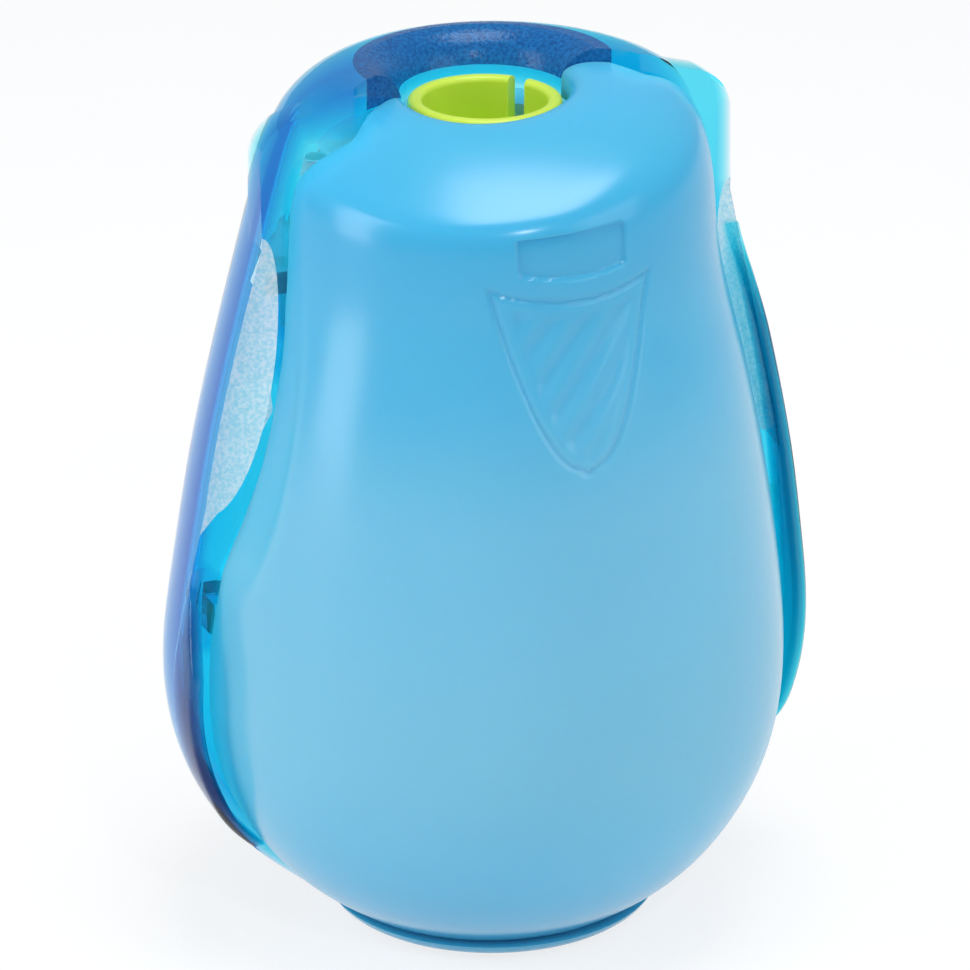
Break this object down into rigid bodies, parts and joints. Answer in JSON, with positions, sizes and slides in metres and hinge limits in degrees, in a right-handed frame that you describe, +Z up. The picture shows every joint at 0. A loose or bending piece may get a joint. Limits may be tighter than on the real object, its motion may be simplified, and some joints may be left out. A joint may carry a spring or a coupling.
{
  "type": "rotary pencil sharpener",
  "caption": "Upright pear-shaped pencil sharpener: a turning top collar drives a geared cutter head, and the front cover slides out with the shavings bin.",
  "frame": {"origin": "centre of the foot on the table, under the pencil hole", "axes": "+Z up along the pencil, -Y out of the front cover, +X to the right as seen from the front"},
  "size_m": [0.0716, 0.0663, 0.096],
  "materials": {
    "clear_blue": "clear, polished",
    "clear_bin": "clear, polished",
    "light_blue": "glossy, slightly milky",
    "lime": "satin",
    "lime_rubber": "soft",
    "foot_rubber": "soft",
    "inner_grey": "moulded",
    "gear_white": "moulded",
    "bearing_brass": "turned",
    "steel": "bright"
  },
  "bodies": {
    "housing": {"rear_shell": "clear_blue", "base_plate": "light_blue", "foot_ring": "foot_rubber", "base_screws": "steel", "gear_case": "inner_grey", "gear_case_cap": "inner_grey", "cap_screws": "steel", "deck_screws": "steel", "head_bush": "bearing_brass", "planet_pins": "steel"},
    "drawer": {"front_cover": "light_blue", "shavings_bin": "clear_bin", "bin_screws": "steel"},
    "collar": {"pencil_collar": "lime", "grip_ring": "lime_rubber"},
    "planet_1": {"planet_gear_1": "gear_white"},
    "planet_2": {"planet_gear_2": "gear_white"},
    "planet_3": {"planet_gear_3": "gear_white"},
    "head": {"blade_head": "inner_grey", "sun_gear": "gear_white", "head_clip": "steel", "thrust_washer": "steel", "blade": "steel", "blade_screw": "steel"}
  },
  "joints": [
    {"name": "drawer_slide", "type": "slide", "parent": "housing", "child": "drawer", "axis": [0, -1, 0], "range_m": [0, 0.062]},
    {"name": "collar_spin", "type": "hinge", "parent": "housing", "child": "collar", "pos_m": [0, 0, 0.08], "axis": [0, 0, 1], "continuous": true},
    {"name": "planet_1_spin", "type": "hinge", "parent": "housing", "child": "planet_1", "pos_m": [0.0108, 0, 0.0797], "axis": [0, 0, 1], "continuous": true},
    {"name": "planet_2_spin", "type": "hinge", "parent": "housing", "child": "planet_2", "pos_m": [-0.0054, 0.00935, 0.0797], "axis": [0, 0, 1], "continuous": true},
    {"name": "planet_3_spin", "type": "hinge", "parent": "housing", "child": "planet_3", "pos_m": [-0.0054, -0.00935, 0.0797], "axis": [0, 0, 1], "continuous": true},
    {"name": "head_spin", "type": "hinge", "parent": "housing", "child": "head", "pos_m": [0, 0, 0.0748], "axis": [0, 0, 1], "continuous": true}
  ],
  "couplings": [
    {"joint": "planet_1_spin", "follows": "collar_spin", "ratio": 4},
    {"joint": "planet_2_spin", "follows": "collar_spin", "ratio": 4},
    {"joint": "planet_3_spin", "follows": "collar_spin", "ratio": 4},
    {"joint": "head_spin", "follows": "collar_spin", "ratio": -2}
  ]
}
